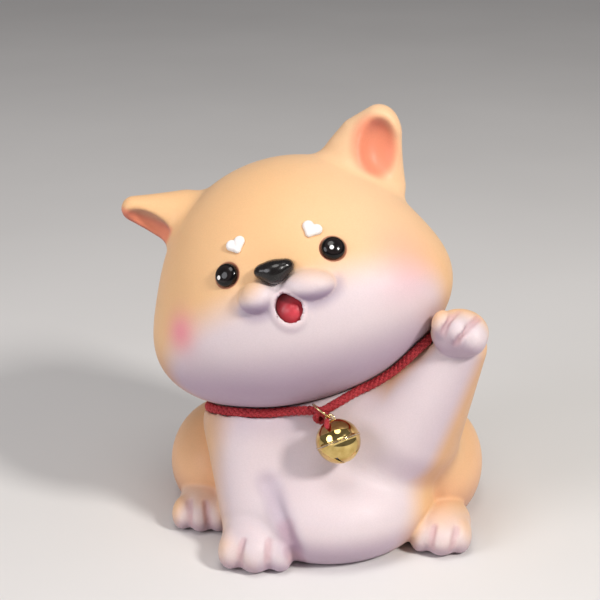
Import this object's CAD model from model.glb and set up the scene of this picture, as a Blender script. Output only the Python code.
import math

import bpy
import numpy as np
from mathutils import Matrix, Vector


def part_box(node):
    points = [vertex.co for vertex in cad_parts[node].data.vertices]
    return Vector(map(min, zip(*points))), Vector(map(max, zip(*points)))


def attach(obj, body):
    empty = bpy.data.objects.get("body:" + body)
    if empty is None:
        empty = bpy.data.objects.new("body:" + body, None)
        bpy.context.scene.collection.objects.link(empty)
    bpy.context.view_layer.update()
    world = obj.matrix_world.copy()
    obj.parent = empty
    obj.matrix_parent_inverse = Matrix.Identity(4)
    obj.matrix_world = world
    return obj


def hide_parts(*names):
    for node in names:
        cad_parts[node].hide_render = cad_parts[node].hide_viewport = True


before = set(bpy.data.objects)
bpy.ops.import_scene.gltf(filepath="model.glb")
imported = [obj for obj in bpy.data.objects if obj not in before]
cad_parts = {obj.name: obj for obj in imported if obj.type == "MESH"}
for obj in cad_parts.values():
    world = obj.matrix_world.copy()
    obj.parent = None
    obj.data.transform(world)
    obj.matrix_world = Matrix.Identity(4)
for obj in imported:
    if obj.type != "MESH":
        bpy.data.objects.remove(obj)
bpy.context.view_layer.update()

MM = 0.001
OUTLET_AT = np.array([2.0, -6.0, 0.0])
plug_low, plug_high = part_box("outlet_plug")
SHIFT = np.array(
    [
        (plug_low.x + plug_high.x) / 2 / MM - OUTLET_AT[0],
        (plug_low.y + plug_high.y) / 2 / MM - OUTLET_AT[1],
        0.0,
    ]
)


def to_frame(points):
    return (np.asarray(points, float) + SHIFT) * MM


# ---------------------------------------------------------------- camera
CAMERA_AZIMUTH = math.radians(6)
CAMERA_ELEVATION = math.radians(20.5)
CAMERA_DISTANCE = 0.8
camera_data = bpy.data.cameras.new("camera")
camera = bpy.data.objects.new("camera", camera_data)
bpy.context.scene.collection.objects.link(camera)
camera_data.lens = 90.6
camera_data.sensor_width = 36
camera_data.shift_x = -0.03
camera_data.shift_y = 0.0017
camera_data.clip_start = 0.05
look_at = Vector(to_frame([0, 0, 118]))
camera_back = Vector(
    (
        math.sin(CAMERA_AZIMUTH) * math.cos(CAMERA_ELEVATION),
        -math.cos(CAMERA_AZIMUTH) * math.cos(CAMERA_ELEVATION),
        math.sin(CAMERA_ELEVATION),
    )
)
camera.location = look_at + camera_back * CAMERA_DISTANCE
camera.rotation_euler = camera_back.to_track_quat("Z", "Y").to_euler()
bpy.context.scene.camera = camera


# ---------------------------------------------------------------- fields
def vec(*xyz):
    return np.array(xyz, float)


def smin(a, b, k):
    h = np.maximum(k - np.abs(a - b), 0)
    return np.minimum(a, b) - h * h / (4 * k)


def smax(a, b, k):
    return -smin(-a, -b, k)


def smoothstep(lo, hi, x):
    t = np.clip((x - lo) / (hi - lo), 0, 1)
    return t * t * (3 - 2 * t)


def rotation(axis, degrees):
    a = math.radians(degrees)
    c, s = math.cos(a), math.sin(a)
    if axis == "x":
        return np.array([[1, 0, 0], [0, c, -s], [0, s, c]])
    if axis == "y":
        return np.array([[c, 0, s], [0, 1, 0], [-s, 0, c]])
    return np.array([[c, -s, 0], [s, c, 0], [0, 0, 1]])


def ellipsoid(p, centre, radii, turn=None):
    q = p - vec(*centre)
    if turn is not None:
        q = q @ turn
    r = vec(*radii)
    k0 = np.sqrt(((q / r) ** 2).sum(-1)) + 1e-9
    k1 = np.sqrt(((q / (r * r)) ** 2).sum(-1)) + 1e-9
    return k0 * (k0 - 1) / k1


def round_cone(p, a, b, ra, rb):
    a, b = vec(*a), vec(*b)
    ba = b - a
    l2 = ba @ ba
    rr = ra - rb
    a2 = l2 - rr * rr
    pa = p - a
    y = pa @ ba
    z = y - l2
    x2 = ((pa * l2 - y[:, None] * ba) ** 2).sum(-1)
    y2 = y * y * l2
    z2 = z * z * l2
    k = np.sign(rr) * rr * rr * x2
    side = (np.sqrt(x2 * a2 / l2) + y * rr) / l2 - ra
    top = np.sqrt(x2 + z2) / l2 - rb
    bottom = np.sqrt(x2 + y2) / l2 - ra
    return np.where(np.sign(z) * a2 * z2 > k, top, np.where(np.sign(y) * a2 * y2 < k, bottom, side))


def segment(p, a, b):
    a, b = vec(*a), vec(*b)
    ba = b - a
    t = np.clip(((p - a) @ ba) / (ba @ ba), 0, 1)
    return np.sqrt(((p - a - t[:, None] * ba) ** 2).sum(-1))


def polyline(p, points):
    return np.minimum.reduce([segment(p, a, b) for a, b in zip(points[:-1], points[1:])])


def triangle(p, a, b, c):
    a, b, c = vec(*a), vec(*b), vec(*c)
    ba, cb, ac = b - a, c - b, a - c
    nor = np.cross(ba, ac)
    pa, pb, pc = p - a, p - b, p - c
    inside = sum(np.sign(point @ np.cross(edge, nor)) for point, edge in ((pa, ba), (pb, cb), (pc, ac)))
    edges = np.minimum(np.minimum(segment(p, a, b), segment(p, b, c)), segment(p, c, a))
    return np.where(inside < 2, edges, np.abs(pa @ nor) / np.linalg.norm(nor))


def gradient(field, p, h=0.2):
    g = np.zeros_like(p)
    for k in range(3):
        e = np.zeros(3)
        e[k] = h
        g[:, k] = field(p + e) - field(p - e)
    return g / (2 * h)


# ---------------------------------------------------------------- head forms
HEAD_CENTRE = vec(-11.5, -12, 134)
HEAD_ROLL = -19
HEAD_TURN = rotation("z", 7) @ rotation("y", HEAD_ROLL) @ rotation("x", -14)
WALL = 3.5
GAP = 0.3


def to_head(p):
    return (p - HEAD_CENTRE) @ HEAD_TURN


def from_head(q):
    return np.asarray(q, float) @ HEAD_TURN.T + HEAD_CENTRE


def skull(q):
    return smin(ellipsoid(q, (0, -2, -16), (80, 62, 47)), ellipsoid(q, (0, 6, 15), (61, 54, 49)), 30)


def face_y(x, z):
    y = np.linspace(-90, 0, 3601)
    q = np.stack([np.full_like(y, x), y, np.full_like(y, z)], 1)
    return float(y[np.argmax(skull(q) < 0)])


def face_normal(x, z):
    y = face_y(x, z)
    h = 0.5
    step = np.eye(3) * h
    g = skull(vec(x, y, z) + step) - skull(vec(x, y, z) - step)
    return g / np.linalg.norm(g)


def facing(normal, up=(0, 0, 1)):
    """Turn whose columns are the local x, y (into the face) and z axes."""
    y = -np.asarray(normal, float)
    x = np.cross(y, up)
    x /= np.linalg.norm(x)
    return np.stack([x, y, np.cross(x, y)], 1)


EYE_RADIUS = 5.9
EYES = {"left_eye": (-24.3, 16.4), "right_eye": (28.8, 12.6)}
eye_frames = {}
for eye_name, (eye_x, eye_z) in EYES.items():
    eye_normal = face_normal(eye_x, eye_z)
    eye_frames[eye_name] = (vec(eye_x, face_y(eye_x, eye_z), eye_z), facing(eye_normal))


def eye_form(q, name):
    at, turn = eye_frames[name]
    return ellipsoid(q, at - turn[:, 1] * 0.7, (EYE_RADIUS, 3.2, EYE_RADIUS), turn)


NOSE_Y = face_y(-1, 12)


def nose_form(q):
    """Rounded triangle, two corners up and one down, domed forwards."""
    y = NOSE_Y - 2.0
    d = ellipsoid(q, (-0.6, y - 0.8, 12.7), (9.2, 6.0, 4.5), rotation("y", 6))
    d = smin(d, ellipsoid(q, (-1.2, y - 1.4, 10.0), (4.8, 5.4, 4.2)), 5)
    for x, z in ((-7.0, 13.6), (6.0, 12.5)):
        d = smin(d, ellipsoid(q, (x, y - 0.2, z), (2.8, 4.2, 2.6)), 2.5)
    return d


MOUTH = (0.6, -7.2)
MOUTH_Y = face_y(*MOUTH)


def mouth_oval(q, grow=0.0):
    radii = (6.9 + grow, 5.2 + grow, 8.2 + grow)
    return ellipsoid(q, (MOUTH[0], MOUTH_Y + 1.2, MOUTH[1]), radii, rotation("y", -6))


def ear_hollow(m, side):
    if side > 0:
        return ellipsoid(m, (64.5, -6.0, 50.5), (9.5, 8.0, 14.5), rotation("y", 12))
    return ellipsoid(m, (62.0, -4.6, 48.2), (7.6, 8.6, 15.5), rotation("y", 38))


def ear(m, side):
    """m is the head's frame mirrored for the left ear, so that both ears are at positive x."""
    if side > 0:
        d = np.minimum(
            triangle(m, (34, 10, 46), (54.4, 7, 61.6), (63.2, 8, 30)),
            triangle(m, (54.4, 7, 61.6), (67.6, 4, 64.0), (63.2, 8, 30)),
        )
        d = smin(d - 7.5, round_cone(m, (50, 9, 44), (67.4, 3, 58), 18, 9), 9)
        return smax(d, -ear_hollow(m, side), 5)
    d = triangle(m, (34, 10, 50), (47, 8, 40.5), (67.8, 4, 61.3)) - 5.4
    d = smin(d, round_cone(m, (44, 9, 47), (67.6, 3.5, 61.2), 15.5, 5.2), 5)
    return smax(d, -ear_hollow(m, side), 2.2)


def ear_flush(m, side):
    """How much of the ear's coral is sprayed at each point."""
    on_ear = 1 - smoothstep(0.8, 3.0, ear(m, side))
    if side > 0:
        flat = m * (1, 0, 1)
        patch = ellipsoid(flat, (61.8, 0, 51.5), (12.5, 20, 17.0), rotation("y", 8))
        return on_ear * (1 - smoothstep(-5.0, 2.5, patch)) * smoothstep(6, 2, m[:, 1])
    below = ((m[:, 0] - 49.1) * 18.8 - (m[:, 2] - 45.2) * 23) / 29.7
    outwards = smoothstep(46, 53, m[:, 0]) * smoothstep(28, 36, m[:, 2])
    in_front = smoothstep(8, 4, m[:, 1])
    return on_ear * smoothstep(-1.2, 2.2, below) * outwards * in_front


SLOT_AT = from_head([0, 24, 57])
SLOT_TURN = rotation("y", HEAD_ROLL)


def slot_form(p, length=38.0, width=5.0):
    q = np.abs((p - SLOT_AT) @ SLOT_TURN) - vec(length / 2, width / 2, 15)
    outside = np.sqrt((np.maximum(q, 0) ** 2).sum(-1))
    return outside + np.minimum(q.max(-1), 0)


NECK_AT = vec(4, -8, 0)


def upright(p, at, radius, low, high):
    d = np.sqrt(((p[:, :2] - at[:2]) ** 2).sum(-1)) - radius
    return np.maximum(d, np.maximum(low - p[:, 2], p[:, 2] - high))


MUZZLE = (((-12.4, -58.0, 1.9), (9.8, 10.8, 8.4), 0), ((12.4, -58.4, -0.2), (13.4, 10.8, 8.0), 11))


def head_form(p):
    q = to_head(p)
    d = skull(q)
    for side in (-1, 1):
        d = smin(d, ear(q * (side, 1, 1), side), 7)
    lip = ellipsoid(q, (MOUTH[0] - 0.3, MOUTH_Y + 0.6, MOUTH[1] - 0.6), (8.9, 3.2, 10.2), rotation("y", -6))
    d = smin(d, lip, 2.5)
    d = smax(d, -mouth_oval(q), 1.0)
    for centre, radii, lean in MUZZLE:
        d = smin(d, ellipsoid(q, centre, radii, rotation("y", lean)), 1.6)
    d = smax(d, -mouth_oval(q, -0.8), 1.2)
    for name in EYES:
        d = smax(d, -(eye_form(q, name) - GAP), 0.9)
    d = smax(d, -(nose_form(q) - GAP), 0.9)
    spigot = upright(p, NECK_AT, 29.7, 63, 100)
    d = smax(d, -collar_groove(p, skull(q)), 0.8)
    d = np.minimum(d, spigot)
    return smax(d, -slot_form(p), 1.6)


def head_skin(p):
    return skull(to_head(p))


# ---------------------------------------------------------------- body forms
RIGHT_HIND = ((70, -37, 9), (15, 24, 12))
LEFT_HIND = ((-58, -24, 9), (15, 24, 12))
FRONT = ((-24, -65, 10), (19, 21, 14))
RAISED = ((75.5, -42.0, 119.5), (14.4, 12.0, 12.2))
TOES = (
    ((-36.4, -74.5, 8.5), (7.0, 10.6, 9.4)),
    ((-23.8, -77, 9.0), (8.2, 11.0, 10.2)),
    ((-11.2, -74.5, 8.5), (7.4, 10.6, 9.6)),
    ((59.2, -48.2, 8.0), (6.2, 9.2, 8.6)),
    ((69.8, -50.2, 8.5), (6.6, 9.4, 9.4)),
    ((79.6, -47.2, 8.0), (5.8, 9.2, 8.8)),
    ((-68.4, -37.0, 8.0), (6.2, 9.2, 8.8)),
    ((-58.6, -39.0, 8.5), (6.2, 9.2, 9.4)),
    ((-48.8, -38.0, 8.0), (6.2, 9.2, 8.8)),
    ((67.0, -47.0, 125.8), (5.6, 7.0, 7.0)),
    ((74.4, -49.6, 123.0), (5.8, 7.6, 7.8)),
    ((82.4, -47.6, 118.6), (6.2, 7.6, 7.8)),
)


def trunk(p):
    d = smin(ellipsoid(p, (2, 0, 50), (60, 55, 62)), ellipsoid(p, (8, -16, 20), (60, 67, 34)), 16)
    d = smin(d, ellipsoid(p, (62, 8, 23), (28, 42, 32)), 2.5)
    d = smin(d, ellipsoid(p, (-54, 11, 20), (29, 42, 30)), 2.5)
    return smin(d, round_cone(p, (-32.5, -34, 62), (-27, -53, 16), 24, 17.5), 7)


def arm(p):
    return round_cone(p, (46, -24, 58), (75.5, -33, 108), 32, 14)


def body_skin(p):
    return smin(trunk(p), arm(p), 12)


TOE_GROOVES = (
    ((-31.4, -83, 0), (-31.0, -86, 7), (-30.6, -85, 13), (-29.6, -81.5, 18.5)),
    ((-16.6, -83, 0), (-16.4, -86, 7), (-16.4, -84.7, 13), (-16.4, -81, 18.5)),
    ((64.0, -60, 2), (64.3, -60.4, 7), (64.8, -59.6, 12), (65.8, -55.0, 17)),
    ((75.6, -60, 2), (75.6, -60.3, 7), (76.4, -58.7, 12), (77.6, -53.8, 16.5)),
    ((-63.7, -47, 2), (-63.6, -47.3, 8), (-63.5, -45.6, 13), (-64.8, -40.4, 17)),
    ((-53.6, -47, 2), (-53.5, -47.3, 8), (-54.2, -46.4, 13), (-55.3, -42.0, 17.5)),
    ((74.6, -43.6, 133.0), (71.2, -49.6, 130.5), (68.3, -53.0, 126.5), (67.0, -54.2, 122.5)),
    ((84.6, -43.7, 128.6), (80.0, -51.8, 127.2), (75.6, -55.8, 122.8), (73.6, -56.0, 118.5)),
)
LEG_CREASE = (
    (-18.5, -65.5, 43),
    (-13.3, -73.4, 34.1),
    (-8.4, -80.0, 26.0),
    (-4.6, -82.5, 16.0),
    (-2.4, -78, 4.0),
    (-1.5, -74, -2),
)
TAIL = ((4, 44, 26), (0, 58, 32), (-5, 66, 45), (-9, 60, 58), (-11, 50, 58))


def smooth_path(points, count):
    """Centripetal Catmull-Rom through the points."""
    pts = np.asarray(points, float)
    pts = np.vstack([2 * pts[0] - pts[1], pts, 2 * pts[-1] - pts[-2]])
    out = []
    per = max(2, count // (len(pts) - 3))
    for i in range(1, len(pts) - 2):
        p0, p1, p2, p3 = pts[i - 1 : i + 3]
        t0 = 0.0
        t1 = t0 + np.linalg.norm(p1 - p0) ** 0.5
        t2 = t1 + np.linalg.norm(p2 - p1) ** 0.5
        t3 = t2 + np.linalg.norm(p3 - p2) ** 0.5
        t = np.linspace(t1, t2, per, endpoint=False)[:, None]
        a1 = (t1 - t) / (t1 - t0) * p0 + (t - t0) / (t1 - t0) * p1
        a2 = (t2 - t) / (t2 - t1) * p1 + (t - t1) / (t2 - t1) * p2
        a3 = (t3 - t) / (t3 - t2) * p2 + (t - t2) / (t3 - t2) * p3
        b1 = (t2 - t) / (t2 - t0) * a1 + (t - t0) / (t2 - t0) * a2
        b2 = (t3 - t) / (t3 - t1) * a2 + (t - t1) / (t3 - t1) * a3
        out.append((t2 - t) / (t2 - t1) * b1 + (t - t1) / (t2 - t1) * b2)
    out.append(pts[-2][None])
    return np.vstack(out)


TAIL_PATH = smooth_path(TAIL, 24)


# ---------------------------------------------------------------- collar path
CORD_RADIUS = 2.55
CORD_GAP = 0.25
KNOT_AT = vec(8.15, -55.8, 79.6)
BEHIND_ARM = ((56, -41.5, 111), (61, -33, 115), (62, -24, 112.5), (60, -15, 105), (54, -6, 97.8))


def crease(degrees):
    """Points at the given angles round the neck (0 = front, 90 = the raised paw's side). They touch the
    head and lie on the body, and at the left and behind they are sunk into the body's seat."""
    degrees = np.asarray(degrees, float)
    a = np.radians(degrees)
    out = np.stack([np.sin(a), -np.cos(a)], 1)
    clear = CORD_RADIUS + CORD_GAP
    at_left = smoothstep(346, 318, degrees) * smoothstep(200, 260, degrees)
    behind = smoothstep(150, 180, degrees)
    sunk = 2.5 * at_left + 1.5 * behind

    def at(reach, z):
        return np.column_stack([NECK_AT[:2] + out * reach[:, None], z])

    def lean(reach, z):
        p = at(reach, z)
        return head_skin(p) - body_skin(p) - sunk

    def level(reach):
        z = np.full(len(a), 50.0)
        going = np.ones(len(a), bool)
        while going.any() and z.max() < 135:
            going &= lean(reach, z) > 0
            z = np.where(going, z + 1, z)
        lo, hi = z - 1, z
        for _ in range(16):
            mid = (lo + hi) / 2
            up = lean(reach, mid) > 0
            lo, hi = np.where(up, mid, lo), np.where(up, hi, mid)
        return (lo + hi) / 2

    near, far = np.full(len(a), 10.0), np.full(len(a), 90.0)
    for _ in range(18):
        mid = (near + far) / 2
        tight = head_skin(at(mid, level(mid))) < clear
        near, far = np.where(tight, mid, near), np.where(tight, far, mid)
    return at(near, level(near))


def clear_of_head(points):
    p = np.array(points, float)
    for _ in range(6):
        g = gradient(head_skin, p, 0.1)
        g /= np.linalg.norm(g, axis=1, keepdims=True)
        p += g * np.maximum(CORD_RADIUS + CORD_GAP - head_skin(p), 0)[:, None]
    return p


collar_points = np.vstack(
    [
        [KNOT_AT],
        [(13, -53, 81.8)],
        crease(range(30, 51, 10)),
        clear_of_head(BEHIND_ARM),
        crease(range(100, 341, 10)),
        [(2.5, -54.3, 79.2)],
        [KNOT_AT],
    ]
)
collar_path = smooth_path(collar_points, 40 * 12)


def collar_groove(p, skin):
    """The moulded seat of the collar, left out far from the crease between head and body."""
    d = np.full(len(p), 1e3)
    near = (np.abs(head_skin(p)) < 9) & (np.abs(skin) < 9)
    d[near] = polyline(p[near], collar_path[::12]) - CORD_RADIUS - GAP
    return d


def body_form(p):
    d = trunk(p)
    d = smin(d, ellipsoid(p, *RIGHT_HIND), 2)
    d = smin(d, ellipsoid(p, *LEFT_HIND), 2)
    d = smin(d, ellipsoid(p, *FRONT), 4)
    d = smin(d, arm(p), 12)
    d = smin(d, ellipsoid(p, *RAISED), 2)
    for toe in TOES:
        d = smin(d, ellipsoid(p, *toe), 2.5)
    d = smax(d, -(polyline(p, LEG_CREASE) - 1.6), 5)
    d = smin(d, polyline(p, TAIL_PATH) - 9.5, 6)
    for groove in TOE_GROOVES:
        d = smax(d, -(polyline(p, groove) - 1.1), 1.8)
    d = smax(d, -(head_skin(p) - GAP), 1.2)
    d = smax(d, -collar_groove(p, body_skin(p)), 0.8)
    d = smax(d, -upright(p, NECK_AT, 30, 50, 140), 0.8)
    d = smax(d, -p[:, 2], 2.0)
    return smax(d, -upright(p, OUTLET_AT, 20, -9, 9), 0.8)


# ---------------------------------------------------------------- meshing a field
def surface(field, low, high, step, relax=1):
    """Closed quad mesh of the field's zero surface: a narrow band of grid points is sampled, every cell
    that the surface crosses gets one point, and the points are then moved onto the surface."""
    low = np.asarray(low, float)
    coarse = 4
    n = (np.ceil((np.asarray(high, float) - low) / (step * coarse)).astype(int)) * coarse
    cell = step * coarse
    m = n // coarse
    grid = np.stack(np.meshgrid(*[np.arange(k) for k in m], indexing="ij"), -1).reshape(-1, 3)
    mid = field(low + (grid + 0.5) * cell).reshape(m)
    near = np.abs(mid) < cell * 1.25
    rough = np.repeat(np.repeat(np.repeat(mid, coarse, 0), coarse, 1), coarse, 2)
    band = np.repeat(np.repeat(np.repeat(near, coarse, 0), coarse, 1), coarse, 2)
    value = rough
    idx = np.argwhere(band)
    value[band] = field(low + idx * step)
    inside = value < 0
    mixed = np.zeros(np.array(inside.shape) - 1, bool)
    corners = [(i, j, k) for i in (0, 1) for j in (0, 1) for k in (0, 1)]

    def shifted(a, c):
        return a[c[0] : a.shape[0] - 1 + c[0], c[1] : a.shape[1] - 1 + c[1], c[2] : a.shape[2] - 1 + c[2]]

    first = shifted(inside, (0, 0, 0))
    for c in corners[1:]:
        mixed |= shifted(inside, c) != first
    cells = np.argwhere(mixed)
    number = np.full(mixed.shape, -1, np.int64)
    number[mixed] = np.arange(len(cells))
    total = np.zeros((len(cells), 3))
    hits = np.zeros(len(cells))
    for axis in range(3):
        for c in corners:
            if c[axis]:
                continue
            a = cells + c
            b = a.copy()
            b[:, axis] += 1
            va = value[a[:, 0], a[:, 1], a[:, 2]]
            vb = value[b[:, 0], b[:, 1], b[:, 2]]
            cross = (va < 0) != (vb < 0)
            t = np.where(cross, va / np.where(cross, va - vb, 1), 0)
            spot = a.astype(float)
            spot[:, axis] += t
            total += spot * cross[:, None]
            hits += cross
    points = low + total / hits[:, None] * step
    quads = []
    for axis in range(3):
        u, v = (axis + 1) % 3, (axis + 2) % 3
        a = [slice(None)] * 3
        b = [slice(None)] * 3
        a[axis] = slice(0, -1)
        b[axis] = slice(1, None)
        change = inside[tuple(a)] != inside[tuple(b)]
        e = np.argwhere(change)
        for side in (u, v):
            e = e[(e[:, side] > 0) & (e[:, side] < inside.shape[side] - 1)]
        ring = []
        for du, dv in ((-1, -1), (0, -1), (0, 0), (-1, 0)):
            c = e.copy()
            c[:, u] += du
            c[:, v] += dv
            ring.append(number[c[:, 0], c[:, 1], c[:, 2]])
        ring = np.stack(ring, 1)
        outward = inside[e[:, 0], e[:, 1], e[:, 2]]
        quads.append(np.where(outward[:, None], ring, ring[:, ::-1]))
    quads = np.vstack(quads)
    for _ in range(relax):
        points = onto(field, tangential(points, quads, field), step)
    return onto(field, points, step), quads


def onto(field, p, limit):
    g = gradient(field, p)
    for _ in range(2):
        s = field(p)
        step = s[:, None] * g / np.maximum((g * g).sum(-1), 0.05)[:, None]
        size = np.linalg.norm(step, axis=1, keepdims=True)
        p = p - step * np.minimum(1, 0.6 * limit / np.maximum(size, 1e-9))
    return p


def tangential(p, quads, field):
    total = np.zeros_like(p)
    count = np.zeros(len(p))
    for k in range(4):
        np.add.at(total, quads[:, k], p[quads[:, (k + 1) % 4]] + p[quads[:, (k + 3) % 4]])
        np.add.at(count, quads[:, k], 2)
    move = total / np.maximum(count, 1)[:, None] - p
    g = gradient(field, p)
    g /= np.maximum(np.linalg.norm(g, axis=1, keepdims=True), 1e-6)
    move -= (move * g).sum(-1, keepdims=True) * g
    return p + 0.5 * move


def mesh_object(name, points, faces, smooth=True, placed=False):
    mesh = bpy.data.meshes.new(name)
    co = np.asarray(points, float) if placed else to_frame(points)
    mesh.from_pydata(co.tolist(), [], np.asarray(faces).tolist() if isinstance(faces, np.ndarray) else faces)
    mesh.update()
    mesh.polygons.foreach_set("use_smooth", [smooth] * len(mesh.polygons))
    obj = bpy.data.objects.new(name, mesh)
    bpy.context.scene.collection.objects.link(obj)
    return obj


def bake_modifiers(obj):
    graph = bpy.context.evaluated_depsgraph_get()
    mesh = bpy.data.meshes.new_from_object(obj.evaluated_get(graph))
    obj.modifiers.clear()
    obj.data = mesh
    mesh.name = obj.name


def carve(obj, tool, operation="DIFFERENCE", keep=False):
    mod = obj.modifiers.new("cut", "BOOLEAN")
    mod.object = tool
    mod.operation = operation
    mod.solver = "MANIFOLD"
    bpy.context.view_layer.update()
    bake_modifiers(obj)
    if not keep:
        bpy.data.objects.remove(tool)


def finish_in(obj, material):
    obj.data.materials.clear()
    obj.data.materials.append(material)
    return obj


def design_points(obj):
    co = np.zeros(len(obj.data.vertices) * 3)
    obj.data.vertices.foreach_get("co", co)
    return co.reshape(-1, 3) / MM - SHIFT


def lathe(profile, sides, turn=None, at=(0, 0, 0)):
    """Points and quads of a profile [(radius, height), ...] turned about z. Ends on the axis are closed."""
    profile = [tuple(map(float, p)) for p in profile]
    angle = np.arange(sides) * 2 * math.pi / sides
    rings = []
    points = []
    for r, z in profile:
        if r < 1e-6:
            rings.append([len(points)] * sides)
            points.append((0, 0, z))
        else:
            rings.append(list(range(len(points), len(points) + sides)))
            points.extend(zip(r * np.cos(angle), r * np.sin(angle), np.full(sides, z)))
    faces = []
    for a, b in zip(rings[:-1], rings[1:]):
        for k in range(sides):
            n = (k + 1) % sides
            face = [a[k], a[n], b[n], b[k]]
            face = [v for i, v in enumerate(face) if v not in face[:i]]
            if len(face) > 2:
                faces.append(face)
    points = np.array(points, float)
    if turn is not None:
        points = points @ np.asarray(turn).T
    return points + vec(*at), faces


# ---------------------------------------------------------------- materials
def srgb(r, g, b):
    def lin(c):
        c /= 255
        return c / 12.92 if c <= 0.04045 else ((c + 0.055) / 1.055) ** 2.4

    return (lin(r), lin(g), lin(b), 1.0)


class Material:
    """A node material built up step by step around one Principled shader."""

    def __init__(self, name, **values):
        self.material = bpy.data.materials.new(name)
        self.material.use_nodes = True
        self.tree = self.material.node_tree
        self.shader = self.tree.nodes["Principled BSDF"]
        for key, value in values.items():
            self.shader.inputs[key.replace("_", " ")].default_value = value
        self.coords = self.node("ShaderNodeTexCoord").outputs["Object"]

    def node(self, kind, **inputs):
        n = self.tree.nodes.new(kind)
        for key, value in inputs.items():
            name = key.replace("_", " ")
            if hasattr(value, "is_output"):
                self.tree.links.new(value, n.inputs[name])
            else:
                n.inputs[name].default_value = value
        return n

    def link(self, output, name):
        self.tree.links.new(output, self.shader.inputs[name])

    def noise(self, scale, detail=3.0, roughness=0.5, vector=None):
        n = self.node("ShaderNodeTexNoise", Scale=scale, Detail=detail, Roughness=roughness)
        self.tree.links.new(vector or self.coords, n.inputs["Vector"])
        return n.outputs["Fac"]

    def ramp(self, fac, stops):
        n = self.node("ShaderNodeValToRGB")
        self.tree.links.new(fac, n.inputs["Fac"])
        e = n.color_ramp.elements
        while len(e) < len(stops):
            e.new(0.5)
        for item, (at, colour) in zip(e, stops):
            item.position = at
            item.color = colour if not isinstance(colour, (int, float)) else (colour, colour, colour, 1)
        return n.outputs["Color"]

    def mix(self, fac, a, b, kind="MIX"):
        n = self.tree.nodes.new("ShaderNodeMix")
        n.data_type = "RGBA"
        n.blend_type = kind
        for socket, value in ((n.inputs[0], fac), (n.inputs[6], a), (n.inputs[7], b)):
            if hasattr(value, "is_output"):
                self.tree.links.new(value, socket)
            else:
                socket.default_value = value
        return n.outputs[2]

    def maths(self, kind, a, b=0.0, clamp=False):
        n = self.tree.nodes.new("ShaderNodeMath")
        n.operation = kind
        n.use_clamp = clamp
        for socket, value in zip(n.inputs, (a, b)):
            if hasattr(value, "is_output"):
                self.tree.links.new(value, socket)
            else:
                socket.default_value = value
        return n.outputs[0]

    def span(self, value, low, high, to_low=0.0, to_high=1.0, smooth=True):
        n = self.tree.nodes.new("ShaderNodeMapRange")
        n.interpolation_type = "SMOOTHSTEP" if smooth else "LINEAR"
        self.tree.links.new(value, n.inputs["Value"])
        for key, x in (("From Min", low), ("From Max", high), ("To Min", to_low), ("To Max", to_high)):
            n.inputs[key].default_value = x
        return n.outputs["Result"]

    def distance(self, point):
        n = self.tree.nodes.new("ShaderNodeVectorMath")
        n.operation = "DISTANCE"
        self.tree.links.new(self.coords, n.inputs[0])
        n.inputs[1].default_value = tuple(point)
        return n.outputs["Value"]

    def bump(self, height, strength, distance, normal=None):
        n = self.node("ShaderNodeBump", Strength=strength, Distance=distance)
        self.tree.links.new(height, n.inputs["Height"])
        if normal is not None:
            self.tree.links.new(normal, n.inputs["Normal"])
        self.link(n.outputs["Normal"], "Normal")
        return n.outputs["Normal"]


def painted_vinyl(name, rings=()):
    """Matte soft-touch vinyl under an airbrushed coat: the coat's colour is the mesh's own, with mottling."""
    m = Material(name, Subsurface_Weight=0.06, Subsurface_Scale=0.004, Sheen_Weight=0.12, Sheen_Roughness=0.5)
    m.shader.inputs["Subsurface Radius"].default_value = (1.0, 0.45, 0.3)
    m.shader.inputs["Specular IOR Level"].default_value = 0.4
    coat = m.node("ShaderNodeAttribute")
    coat.attribute_name = "coat"
    colour = coat.outputs["Color"]
    mottle = m.ramp(m.noise(22, 4, 0.6), [(0.35, 0.955), (0.65, 1.0)])
    colour = m.mix(0.8, colour, mottle, "MULTIPLY")
    spray = m.ramp(m.noise(1400, 2, 0.6), [(0.38, 0.93), (0.62, 1.0)])
    colour = m.mix(0.55, colour, spray, "MULTIPLY")
    for centre, inner, outer, soft, tint in rings:
        d = m.distance(centre)
        near = m.span(d, inner - soft, inner)
        far = m.span(d, outer, outer + soft, 1.0, 0.0)
        colour = m.mix(m.maths("MULTIPLY", near, far), colour, tint)
    m.link(colour, "Base Color")
    m.link(m.span(m.noise(300, 3), 0.3, 0.7, 0.46, 0.56), "Roughness")
    grain = m.noise(900, 3, 0.55)
    wave = m.noise(60, 2, 0.4)
    fine = m.bump(grain, 0.10, 0.00012)
    m.bump(wave, 0.10, 0.0004, fine)
    return m.material


def set_coat(obj, colours):
    layer = obj.data.attributes.new("coat", "FLOAT_COLOR", "POINT")
    rgba = np.ones((len(colours), 4))
    rgba[:, :3] = colours
    layer.data.foreach_set("color", rgba.ravel())


def lerp(a, b, t):
    return a * (1 - t[:, None]) + np.asarray(b)[:3] * t[:, None]


PEACH = vec(*srgb(238, 190, 138)[:3])
CREAM = vec(*srgb(246, 208, 170)[:3])
WHITE = vec(*srgb(221, 205, 208)[:3])
BLUSH = vec(*srgb(240, 148, 160)[:3])
CORAL = vec(*srgb(232, 140, 108)[:3])
MAUVE = vec(*srgb(150, 132, 162)[:3])
ROSE = vec(*srgb(196, 142, 150)[:3])


def undershade(c, amount):
    """Lavender shade sprayed on the undersides."""
    return c * (1 - amount[:, None] * (1 - vec(0.60, 0.52, 0.66)))


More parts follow.
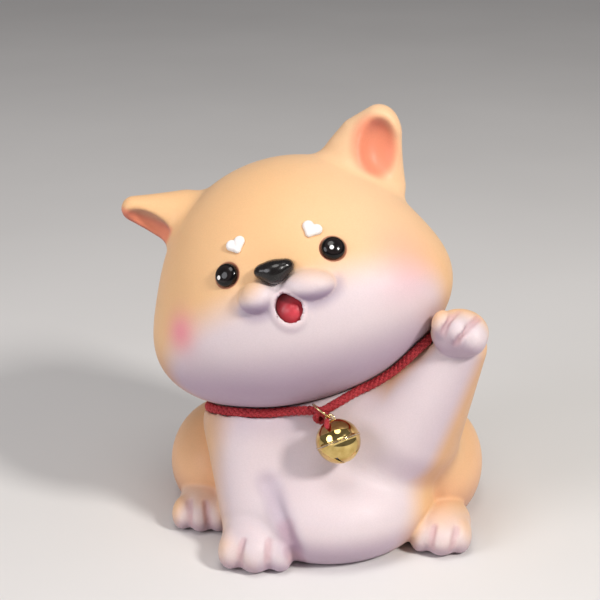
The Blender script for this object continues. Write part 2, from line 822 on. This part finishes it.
def head_coat(p, n):
    q = to_head(p)
    m = n @ HEAD_TURN
    x, y, z = q.T
    c = np.tile(PEACH, (len(p), 1))
    c = lerp(c, CREAM, 0.5 * smoothstep(0, 60, x) * smoothstep(-30, 30, z))
    mask = ellipsoid(q, (0, -46, -32), (84, 50, 40))
    muzzle = ellipsoid(q, (0, -62, -3), (27, 14, 12))
    white = np.maximum(1 - smoothstep(-14, 7, mask), 1 - smoothstep(-5, 4, muzzle))
    c = lerp(c, WHITE, white)
    for centre, radius, strength in (((-57, -43.5, -3.6), 12, 0.9), ((60, -42, -5.6), 24, 0.34)):
        r = np.sqrt(((q - vec(*centre)) ** 2).sum(-1))
        c = lerp(c, BLUSH, strength * np.exp(-((r / radius) ** 2) * 1.6))
    for side in (-1, 1):
        c = lerp(c, CORAL, 0.95 * ear_flush(q * (side, 1, 1), side) * (side * x > 40))
    lobes = np.minimum.reduce([ellipsoid(q, at, radii, rotation("y", lean)) for at, radii, lean in MUZZLE])
    near_lobes = (1 - smoothstep(0.6, 6.5, lobes)) * smoothstep(4, -3, z)
    under = smoothstep(0.1, -0.75, m[:, 2]) * (1 - smoothstep(-0.2, 1.0, lobes))
    c = lerp(c, MAUVE, np.maximum(0.45 * near_lobes * smoothstep(0.0, 0.8, lobes), 0.5 * under) * (y < -40))
    c = undershade(c, smoothstep(0.12, -0.62, n[:, 2]))
    lip = mouth_oval(q)
    c = lerp(c, vec(*srgb(244, 222, 224)[:3]), 0.45 * smoothstep(0.2, 0.8, lip) * smoothstep(2.6, 1.4, lip))
    return lerp(c, vec(*srgb(150, 60, 60)[:3]), (1 - smoothstep(-0.6, 0.5, lip)) * 0.8)


def body_coat(p, n):
    x, y, z = p.T
    c = np.tile(PEACH, (len(p), 1))
    front = ellipsoid(p, (6, -66, 46), (54, 46, 72))
    arm_front = round_cone(p, (43, -60, 60), (77.5, -58, 116), 26.5, 20.5)
    white = np.maximum(1 - smoothstep(-10, 10, front), 1 - smoothstep(-7, 5, arm_front))
    haunch = np.minimum(ellipsoid(p, (62, 8, 23), (28, 42, 32)), ellipsoid(p, (-54, 11, 20), (29, 42, 30)))
    c = lerp(c, vec(*srgb(244, 186, 146)[:3]), 0.6 * (1 - smoothstep(-2, 6, haunch)) * smoothstep(70, 20, z))
    white *= smoothstep(0.6, 4.0, haunch)
    for centre, radii in (FRONT, LEFT_HIND, RIGHT_HIND):
        paw = ellipsoid(p, (centre[0], centre[1] - 6, centre[2] - 3), radii)
        white = np.maximum(white, 0.85 * (1 - smoothstep(-1, 5, paw)))
    c = lerp(c, WHITE, white)
    for groove in TOE_GROOVES:
        c = lerp(c, ROSE, 0.5 * (1 - smoothstep(0.8, 3.0, polyline(p, groove))))
    c = lerp(c, ROSE, 0.5 * (1 - smoothstep(2, 7, polyline(p, LEG_CREASE[2:]))))
    c = lerp(c, MAUVE, 0.4 * (1 - smoothstep(2, 10, polyline(p, LEG_CREASE[:4]))))
    chin = (1 - smoothstep(3, 22, head_skin(p))) * smoothstep(20, -20, x) * smoothstep(-10, -30, y)
    c = lerp(c, MAUVE, 0.3 * chin)
    return undershade(c, 0.85 * smoothstep(0.3, -0.6, n[:, 2]))


# ---------------------------------------------------------------- head and body mouldings
HEAD_LOW = vec(-108, -84, 58)
HEAD_HIGH = vec(80, 58, 223)
BODY_LOW = vec(-88, -92, -6)
BODY_HIGH = vec(96, 82, 136)
STEP = 1.12


def moulding(name, form, low, high, cavity, cuts, coat, material):
    obj = mesh_object(name, *surface(form, low, high, STEP))
    inner = mesh_object(name + "_cavity", *surface(cavity, low, high, 3.0))
    carve(obj, inner)
    for points, faces in cuts:
        carve(obj, mesh_object("cut", points, faces))
    normals = np.zeros(len(obj.data.vertices) * 3)
    obj.data.vertices.foreach_get("normal", normals)
    set_coat(obj, coat(design_points(obj), normals.reshape(-1, 3)))
    finish_in(obj, material)
    obj.data.polygons.foreach_set("use_smooth", [True] * len(obj.data.polygons))
    return obj


def head_cavity(p):
    return skull(to_head(p)) + WALL


def body_cavity(p):
    d = smin(trunk(p), arm(p), 12) + WALL
    d = smax(d, WALL - p[:, 2], 2)
    return smax(d, -(head_skin(p) - GAP - WALL), 3)


eye_world = {name: to_frame(from_head(at)) for name, (at, turn) in eye_frames.items()}
head_rings = []
for eye_point in eye_world.values():
    head_rings.append((eye_point, 0.0, 0.0066, 0.0005, srgb(186, 118, 90)))
head_material = painted_vinyl("vinyl_head_paint", head_rings)
body_material = painted_vinyl("vinyl_body_paint")

bore = lathe([(0, 50), (26.7, 50), (26.7, 97), (0, 97)], 96, at=(NECK_AT[0], NECK_AT[1], 0))
head = moulding("head", head_form, HEAD_LOW, HEAD_HIGH, head_cavity, [bore], head_coat, head_material)
body = moulding("body", body_form, BODY_LOW, BODY_HIGH, body_cavity, [], body_coat, body_material)
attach(head, "bank")
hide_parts("head_shell")
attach(body, "bank")
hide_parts("body_shell")


# ---------------------------------------------------------------- face pieces
def field_piece(name, form, centre, reach, step, body_name, node, material):
    """A small piece whose field is given in the head's frame."""
    c = vec(*centre)
    points, quads = surface(form, c - reach, c + reach, step, relax=2)
    obj = mesh_object(name, from_head(points), quads)
    finish_in(obj, material)
    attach(obj, body_name)
    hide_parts(node)
    return obj


def eye_material(name, at, spot):
    m = Material(name, Coat_Weight=0.25, Coat_Roughness=0.03, Specular_IOR_Level=0.2)
    d = m.distance(at)
    rings = [(0.0, srgb(14, 10, 10)), (0.45, srgb(30, 24, 24))]
    rings += [(0.62, srgb(38, 31, 31)), (0.72, srgb(6, 4, 5))]
    iris = m.ramp(m.span(d, 0.0, 0.0065, smooth=False), rings)
    iris = m.mix(m.span(m.noise(700, 3), 0.3, 0.7, 0.0, 0.35), iris, srgb(18, 13, 14))
    white = m.span(m.distance(spot), 0.0009, 0.0012, 1.0, 0.0)
    m.link(m.mix(white, iris, srgb(250, 248, 246)), "Base Color")
    m.link(m.span(m.noise(420, 2), 0.3, 0.7, 0.10, 0.2), "Roughness")
    m.bump(m.noise(90, 2), 0.05, 0.0004)
    return m.material


EYE_SPOTS = {"left_eye": (-2.9, -1.2), "right_eye": (-1.4, -0.5)}
for eye_name in EYES:
    at, turn = eye_frames[eye_name]
    u, w = EYE_SPOTS[eye_name]
    bulge = 3.2 * math.sqrt(max(0.0, 1 - (u * u + w * w) / EYE_RADIUS**2)) + 0.7
    spot = to_frame(from_head(at + turn[:, 0] * u + turn[:, 2] * w - turn[:, 1] * bulge))
    top = to_frame(from_head(at - turn[:, 1] * 3.9))
    field_piece(
        eye_name + "_bead",
        lambda q, n=eye_name: eye_form(q, n),
        at,
        8.0,
        0.4,
        "bank",
        eye_name,
        eye_material(eye_name + "_gloss", top, spot),
    )


def nose_material():
    m = Material("nose_gloss", Coat_Weight=0.4, Coat_Roughness=0.1, Specular_IOR_Level=0.3)
    m.link(m.ramp(m.noise(160, 3), [(0.3, srgb(14, 11, 11)), (0.7, srgb(28, 24, 23))]), "Base Color")
    m.link(m.span(m.noise(500, 3), 0.3, 0.7, 0.22, 0.34), "Roughness")
    m.bump(m.noise(500, 3), 0.12, 0.0001)
    return m.material


nose_at = (-1, NOSE_Y - 1, 12)
field_piece("nose_bead", nose_form, nose_at, 13.0, 0.5, "bank", "nose", nose_material())


def mouth_form(q):
    d = mouth_oval(q, -GAP)
    d = smax(d, -(skull(q) + 1.2), 0.8)
    tongue = ellipsoid(q, (MOUTH[0] + 0.6, MOUTH_Y + 2.6, MOUTH[1] - 3.0), (5.0, 3.2, 4.6))
    inside = smax(mouth_oval(q, -GAP), skull(q) + 1.2, 1.0)
    return smin(inside, smax(tongue, mouth_oval(q, -GAP), 0.8), 1.5)


def mouth_material():
    m = Material("mouth_paint", Coat_Weight=0.15, Coat_Roughness=0.3)
    glow = m.distance(to_frame(from_head([MOUTH[0] + 2, MOUTH_Y, MOUTH[1] - 3])))
    reds = [(0.0, srgb(212, 66, 78)), (0.5, srgb(186, 44, 56)), (1.0, srgb(116, 22, 32))]
    tone = m.ramp(m.span(glow, 0.0, 0.009, smooth=False), reds)
    m.link(m.mix(m.span(m.noise(500, 3), 0.3, 0.7, 0.0, 0.2), tone, srgb(150, 28, 40)), "Base Color")
    m.link(m.span(m.noise(400, 2), 0.3, 0.7, 0.38, 0.5), "Roughness")
    m.bump(m.noise(600, 3), 0.1, 0.0001)
    return m.material


mouth_at = (MOUTH[0], MOUTH_Y + 1.5, MOUTH[1])
field_piece(
    "mouth_fill", mouth_form, mouth_at, 11.0, 0.5, "bank", "mouth_insert", mouth_material()
)


def heart_form(q, at, normal_turn, lean):
    """Puffy heart: two lobes and a point, on the face."""
    local = (q - at) @ normal_turn @ rotation("y", lean)
    flat = local * (1, 0, 1)
    left = round_cone(flat, (-2.2, 0, 1.1), (0, 0, -2.7), 2.9, 1.6)
    right = round_cone(flat, (2.2, 0, 1.1), (0, 0, -2.7), 2.9, 1.6)
    outline = smin(left, right, 0.8)
    d = np.hypot(np.maximum(outline + 2.2, 0), local[:, 1] * 1.1) - 2.2
    return smax(d, -(skull(q) - 0.05), 0.4)


def white_paint():
    m = Material("brow_white_paint", Coat_Weight=0.2, Coat_Roughness=0.25)
    m.link(m.ramp(m.noise(240, 4), [(0.3, srgb(243, 236, 232)), (0.7, srgb(252, 249, 247))]), "Base Color")
    m.link(m.span(m.noise(500, 3), 0.3, 0.7, 0.34, 0.44), "Roughness")
    m.bump(m.noise(700, 3), 0.12, 0.0001)
    return m.material


heart_material = white_paint()
for brow_name, node, x, z, lean in (
    ("left_brow", "left_brow_heart", -15.8, 28.4, -11),
    ("right_brow", "right_brow_heart", 21.5, 24.2, 48),
):
    at = vec(x, face_y(x, z), z)
    turn = facing(face_normal(x, z))
    field_piece(
        brow_name,
        lambda q, a=at - turn[:, 1] * 0.2, t=turn, ln=lean: heart_form(q, a, t, ln),
        at,
        8.0,
        0.4,
        "bank",
        node,
        heart_material,
    )

# ---------------------------------------------------------------- collar braid
def resample(path, spacing):
    seg = np.linalg.norm(np.diff(path, axis=0), axis=1)
    s = np.concatenate([[0], np.cumsum(seg)])
    n = max(4, int(round(s[-1] / spacing)))
    at = np.linspace(0, s[-1], n + 1)
    return np.stack([np.interp(at, s, path[:, k]) for k in range(3)], 1), at


def frames_along(path):
    tangent = np.gradient(path, axis=0)
    tangent /= np.linalg.norm(tangent, axis=1, keepdims=True)
    side = np.zeros_like(path)
    first = np.cross(tangent[0], (0, 0, 1))
    side[0] = first / np.linalg.norm(first)
    for i in range(1, len(path)):
        s = side[i - 1] - (side[i - 1] @ tangent[i]) * tangent[i]
        side[i] = s / np.linalg.norm(s)
    return side, np.cross(tangent, side)


def strand_tube(path, normals, half_width, half_thick, sides, length_at):
    """Closed tube of oval section along a strand; its flat side faces along the normals."""
    tangent = np.gradient(path, axis=0)
    tangent /= np.linalg.norm(tangent, axis=1, keepdims=True)
    n = normals - (normals * tangent).sum(-1, keepdims=True) * tangent
    n /= np.linalg.norm(n, axis=1, keepdims=True)
    w = np.cross(tangent, n)
    a = np.arange(sides) * 2 * math.pi / sides
    across = w[:, None, :] * (half_width * np.cos(a))[None, :, None]
    through = n[:, None, :] * (half_thick * np.sin(a))[None, :, None]
    rings = path[:, None, :] + (across + through)
    count = len(path)
    points = rings.reshape(-1, 3)
    faces = []
    uvs = []
    for i in range(count - 1):
        for k in range(sides):
            m = (k + 1) % sides
            faces.append((i * sides + k, i * sides + m, (i + 1) * sides + m, (i + 1) * sides + k))
            u0, u1 = length_at[i], length_at[i + 1]
            v0, v1 = k / sides, (k + 1) / sides
            uvs.append(((u0, v0), (u0, v1), (u1, v1), (u1, v0)))
    faces.append(tuple(range(sides - 1, -1, -1)))
    uvs.append(((length_at[0], 0.5),) * sides)
    faces.append(tuple((count - 1) * sides + k for k in range(sides)))
    uvs.append(((length_at[-1], 0.5),) * sides)
    return points, faces, uvs


def braid(name, path, radius, lead, spacing=0.55, carriers=4, sides=8, ends_in=0.0):
    """A round braid: as many strands turn one way as the other, passing over and under in turn."""
    core, at = resample(path, spacing)
    side, other = frames_along(core)
    middle = radius * 0.66
    weave = radius * 0.14
    omega = 2 * math.pi / lead
    taper = np.ones_like(at)
    if ends_in:
        taper = np.clip(np.minimum(at, at[-1] - at) / ends_in, 0.35, 1)
    helix_cos = 1 / math.hypot(1, middle * omega)
    half_width = math.pi * middle * helix_cos / carriers * 0.98
    half_thick = radius - middle - weave
    points, faces, uvs = [], [], []
    for turn in (1, -1):
        for c in range(carriers):
            angle = turn * omega * at + 2 * math.pi * c / carriers
            r = (middle + turn * weave * np.cos(carriers * omega * at)) * taper
            out = side * np.cos(angle)[:, None] + other * np.sin(angle)[:, None]
            p, f, uv = strand_tube(core + out * r[:, None], out, half_width, half_thick, sides, at)
            base = sum(len(x) for x in points)
            points.append(p)
            faces.extend(tuple(v + base for v in face) for face in f)
            uvs.extend(uv)
    obj = mesh_object(name, np.vstack(points), faces)
    layer = obj.data.uv_layers.new(name="yarn")
    layer.data.foreach_set("uv", np.array([xy for face in uvs for xy in face], float).ravel())
    return obj


def cord_material():
    m = Material("red_cord_yarn", Sheen_Weight=0.1, Sheen_Roughness=0.4, Specular_IOR_Level=0.25)
    uv = m.node("ShaderNodeUVMap")
    uv.uv_map = "yarn"
    scale = m.node("ShaderNodeMapping")
    m.tree.links.new(uv.outputs["UV"], scale.inputs["Vector"])
    scale.inputs["Scale"].default_value = (1.1, 9.0, 1.0)
    scale.inputs["Rotation"].default_value = (0, 0, 0.5)
    yarn = m.noise(3.0, 2, 0.5, scale.outputs["Vector"])
    tone = m.ramp(yarn, [(0.3, srgb(104, 16, 26)), (0.5, srgb(172, 36, 46)), (0.68, srgb(226, 98, 100))])
    patch = m.noise(140, 2)
    m.link(m.mix(m.span(patch, 0.35, 0.65, 0.0, 0.35), tone, srgb(138, 24, 34)), "Base Color")
    m.link(m.span(yarn, 0.3, 0.7, 0.45, 0.7), "Roughness")
    m.bump(yarn, 0.5, 0.0002)
    return m.material


red_cord = cord_material()
collar = braid("collar_braid", collar_path, CORD_RADIUS, 12.5)
finish_in(collar, red_cord)
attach(collar, "bank")
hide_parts("collar_cord")

KNOT_LOOPS = (
    (
        *((-4.2, 1.2, 0.8), (-1.6, -2.6, 1.6), (1.6, -2.6, -0.8)),
        *((1.8, 0.6, -3.2), (-1.0, 2.2, -2.6), (-3.2, 0.4, -1.0)),
    ),
    (
        *((3.6, 1.0, 2.0), (1.0, -2.4, 2.4), (-2.0, -3.2, 0.0)),
        *((-3.0, -1.6, -3.4), (-0.8, 0.0, -5.4), (1.2, -1.2, -4.2)),
    ),
)
knot_parts = []
for number, loop in enumerate(KNOT_LOOPS):
    part = braid(f"knot_{number}", smooth_path(KNOT_AT + np.array(loop), 60), 1.9, 7.5, 0.45, ends_in=1.6)
    knot_parts.append(part)


def join(objects, name):
    """One object of several meshes that share their materials and layers."""
    for o in bpy.context.selected_objects:
        o.select_set(False)
    for o in objects:
        o.select_set(True)
    bpy.context.view_layer.objects.active = objects[0]
    bpy.ops.object.join()
    objects[0].name = name
    objects[0].data.name = name
    return objects[0]


knot = join(knot_parts, "collar_knot_wraps")
finish_in(knot, red_cord)
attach(knot, "bank")
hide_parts("collar_knot")


# ---------------------------------------------------------------- ring and bell
def unit(v):
    v = np.asarray(v, float)
    return v / np.linalg.norm(v)


def ring_mesh(radius, wire, around, sides):
    u = np.arange(around) * 2 * math.pi / around
    v = np.arange(sides) * 2 * math.pi / sides
    uu, vv = np.meshgrid(u, v, indexing="ij")
    r = radius + wire * np.cos(vv)
    points = np.stack([r * np.cos(uu), r * np.sin(uu), wire * np.sin(vv)], -1).reshape(-1, 3)
    i, k = np.meshgrid(np.arange(around), np.arange(sides), indexing="ij")
    n, m = (i + 1) % around, (k + 1) % sides
    faces = np.stack([i * sides + k, n * sides + k, n * sides + m, i * sides + m], -1).reshape(-1, 4)
    return points, faces


def metal(name, light, dark, rough):
    m = Material(name, Metallic=1.0)
    tarnish = m.noise(120, 4, 0.6)
    m.link(m.ramp(tarnish, [(0.32, dark), (0.62, light)]), "Base Color")
    m.link(m.span(m.noise(260, 4, 0.65), 0.3, 0.75, rough, rough + 0.09), "Roughness")
    m.bump(m.noise(90, 3, 0.5), 0.05, 0.0003)
    return m.material


gold = metal("bell_gold_plate", srgb(226, 200, 132), srgb(186, 156, 88), 0.05)
wire_gold = metal("pale_gold_wire_plate", srgb(240, 224, 178), srgb(214, 190, 134), 0.14)
steel = metal("pellet_steel", srgb(176, 176, 180), srgb(120, 120, 126), 0.3)

RING_NORMAL = unit((-0.56, -0.342, -0.754))
ring_side = unit(np.cross(RING_NORMAL, (0, 0, 1)))
ring_turn = np.stack([ring_side, np.cross(RING_NORMAL, ring_side), RING_NORMAL], 1)
ring_points, ring_faces = ring_mesh(6.0, 0.5, 72, 14)
ring = mesh_object("wire_ring", ring_points @ ring_turn.T + KNOT_AT, ring_faces)
finish_in(ring, wire_gold)
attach(ring, "bank")
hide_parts("jump_ring")

HANG_AT = vec(12, -60.2, 78.7)
BELL_AT = vec(17, -65, 68)
BELL_RADIUS = 11.3
RING_TANGENT = vec(-0.51, -0.57, 0.64)
bell_axis = unit(HANG_AT - BELL_AT)
loop_face = unit(RING_TANGENT - (RING_TANGENT @ bell_axis) * bell_axis)
BELL_TURN = np.stack([loop_face, np.cross(bell_axis, loop_face), bell_axis], 1)


def in_bell(points):
    return np.asarray(points) @ BELL_TURN.T + BELL_AT


BELL_WALL = 0.8
SEAM_GAP = 0.15


def half_profile():
    """Section of one pressed half: the seam's flange, the outside up to the axis, and the inside back."""

    def arc(radius, angles):
        return [(radius * math.cos(a), radius * math.sin(a)) for a in angles]

    inside = BELL_RADIUS - BELL_WALL
    outer = arc(BELL_RADIUS, np.linspace(0.085, math.pi / 2, 30))
    inner = arc(inside, np.linspace(math.pi / 2, 0.09, 24))
    edge = [
        (inside, SEAM_GAP),
        (BELL_RADIUS + 0.25, SEAM_GAP),
        (BELL_RADIUS + 0.4, 0.28),
        (BELL_RADIUS + 0.4, 0.55),
        (BELL_RADIUS + 0.2, 0.72),
    ]
    outer[-1] = (0, outer[-1][1])
    inner[0] = (0, inner[0][1])
    return edge + outer + inner


def bell_half(name, side, node):
    sides = 96
    points, faces = lathe(half_profile(), sides)
    first = list(range(sides))
    last = list(range(len(points) - sides, len(points)))
    for k in range(sides):
        n = (k + 1) % sides
        faces.append([last[k], last[n], first[n], first[k]])
    points = points * (1, 1, side)
    if side < 0:
        faces = [f[::-1] for f in faces]
    obj = mesh_object(name, in_bell(points), faces)
    finish_in(obj, gold)
    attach(obj, "bell")
    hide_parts(node)
    return obj


bell_half("bell_crown", 1, "bell_upper_shell")
lower = bell_half("bell_cup", -1, "bell_lower_shell")


def slab(x, y, z, turn_degrees=0.0, at=(0, 0, 0)):
    c = np.array([(i, j, k) for i in (-1, 1) for j in (-1, 1) for k in (-1, 1)], float)
    c = c * (x / 2, y / 2, z / 2)
    faces = [(0, 1, 3, 2), (4, 6, 7, 5), (0, 4, 5, 1), (2, 3, 7, 6), (0, 2, 6, 4), (1, 5, 7, 3)]
    return c @ rotation("z", turn_degrees).T + vec(*at), faces


SLIT_WIDTH = 1.6
for turn_degrees in (0.0, 90.0):
    slit_size = (BELL_RADIUS * 1.5, SLIT_WIDTH, BELL_RADIUS)
    slab_points, slab_faces = slab(*slit_size, turn_degrees, (0, 0, -BELL_RADIUS))
    carve(lower, mesh_object("slit", in_bell(slab_points), slab_faces))

loop_points, loop_faces = ring_mesh(2.5, 0.5, 48, 12)
loop_points = loop_points @ rotation("y", 90).T + vec(0, 0, 11.65)
loop = mesh_object("bell_eye", in_bell(loop_points), loop_faces)
finish_in(loop, wire_gold)
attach(loop, "bell")
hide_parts("bell_loop")

TIE_REACH = BELL_RADIUS + 1.7
TIE_TURN = math.radians(12)
tie_points = []
for down in np.radians(np.linspace(24, 54, 8)):
    out = TIE_REACH * math.sin(down)
    tie_points.append((out * math.cos(TIE_TURN), out * math.sin(TIE_TURN), TIE_REACH * math.cos(down)))
tie = braid("cord_tail", in_bell(tie_points), 1.5, 6.0, 0.4, ends_in=1.2)
finish_in(tie, red_cord)
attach(tie, "bell")
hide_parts("cord_end")

pellet_profile = [(3 * math.sin(a), -3 * math.cos(a)) for a in np.linspace(0, math.pi, 25)]
pellet_profile[0] = (0, -3)
pellet_profile[-1] = (0, 3)
pellet_low, pellet_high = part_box("bell_pellet")
pellet_centre = np.array((pellet_low + pellet_high) / 2) / MM - SHIFT
pellet = mesh_object("pellet_ball", *lathe(pellet_profile, 40, at=pellet_centre))
finish_in(pellet, steel)
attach(pellet, "pellet")
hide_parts("bell_pellet")


# ---------------------------------------------------------------- outlet plug
def plug_material():
    m = Material("plug_pvc_soft", Subsurface_Weight=0.05, Subsurface_Scale=0.003)
    m.link(m.ramp(m.noise(60, 4), [(0.3, srgb(222, 214, 204)), (0.7, srgb(238, 232, 224))]), "Base Color")
    m.link(m.span(m.noise(400, 3), 0.3, 0.7, 0.42, 0.55), "Roughness")
    m.bump(m.noise(900, 3), 0.15, 0.0001)
    return m.material


plug_profile = [
    *((0, 4.5), (12.4, 4.5), (13, 3.9), (13, 0.9), (13.6, 0.3)),
    *((19.2, 0.3), (19.7, 0.8), (19.7, 7.4), (19.1, 8), (0, 8)),
]
plug = mesh_object("base_plug", *lathe(plug_profile, 72, at=OUTLET_AT))
grip_points, grip_faces = slab(28.0, 4.0, 4.1, 0.0, (OUTLET_AT[0], OUTLET_AT[1], 2.6))
carve(plug, mesh_object("grip", grip_points, grip_faces), "UNION")
finish_in(plug, plug_material())
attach(plug, "plug")
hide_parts("outlet_plug")

# ---------------------------------------------------------------- floor and light
FLOOR_REACH = 3000
FLOOR_DROP = 0.2
floor_signs = ((-1, -1), (1, -1), (1, 1), (-1, 1))
floor_corners = [(x * FLOOR_REACH, y * FLOOR_REACH, -FLOOR_DROP) for x, y in floor_signs]
floor = mesh_object("floor", floor_corners, [(0, 1, 2, 3)], False)
floor_paint = Material("floor_paper", Roughness=0.7)
paper = [(0.3, srgb(222, 220, 218)), (0.7, srgb(228, 226, 224))]
floor_paint.link(floor_paint.ramp(floor_paint.noise(3, 3), paper), "Base Color")
finish_in(floor, floor_paint.material)


def area_light(name, azimuth, elevation, distance, size, power, colour):
    data = bpy.data.lights.new(name, "AREA")
    data.shape = "DISK"
    data.size = size
    data.energy = power
    data.color = colour
    obj = bpy.data.objects.new(name, data)
    bpy.context.scene.collection.objects.link(obj)
    a, e = math.radians(azimuth), math.radians(elevation)
    back = Vector((math.sin(a) * math.cos(e), -math.cos(a) * math.cos(e), math.sin(e)))
    obj.location = look_at + back * distance
    obj.rotation_euler = back.to_track_quat("Z", "Y").to_euler()


area_light("key", 54, 38, 1.6, 0.28, 18.5, (1.0, 0.975, 0.94))
area_light("fill", -48, 26, 1.8, 1.0, 12, (0.96, 0.95, 1.0))
area_light("top", -8, 75, 1.6, 0.8, 8.5, (1.0, 0.98, 0.95))
bpy.context.scene.view_settings.view_transform = "Standard"
world = bpy.data.worlds.new("studio")
bpy.context.scene.world = world
world.use_nodes = True
world.node_tree.nodes["Background"].inputs["Color"].default_value = (0.86, 0.84, 0.86, 1)
world.node_tree.nodes["Background"].inputs["Strength"].default_value = 0.2
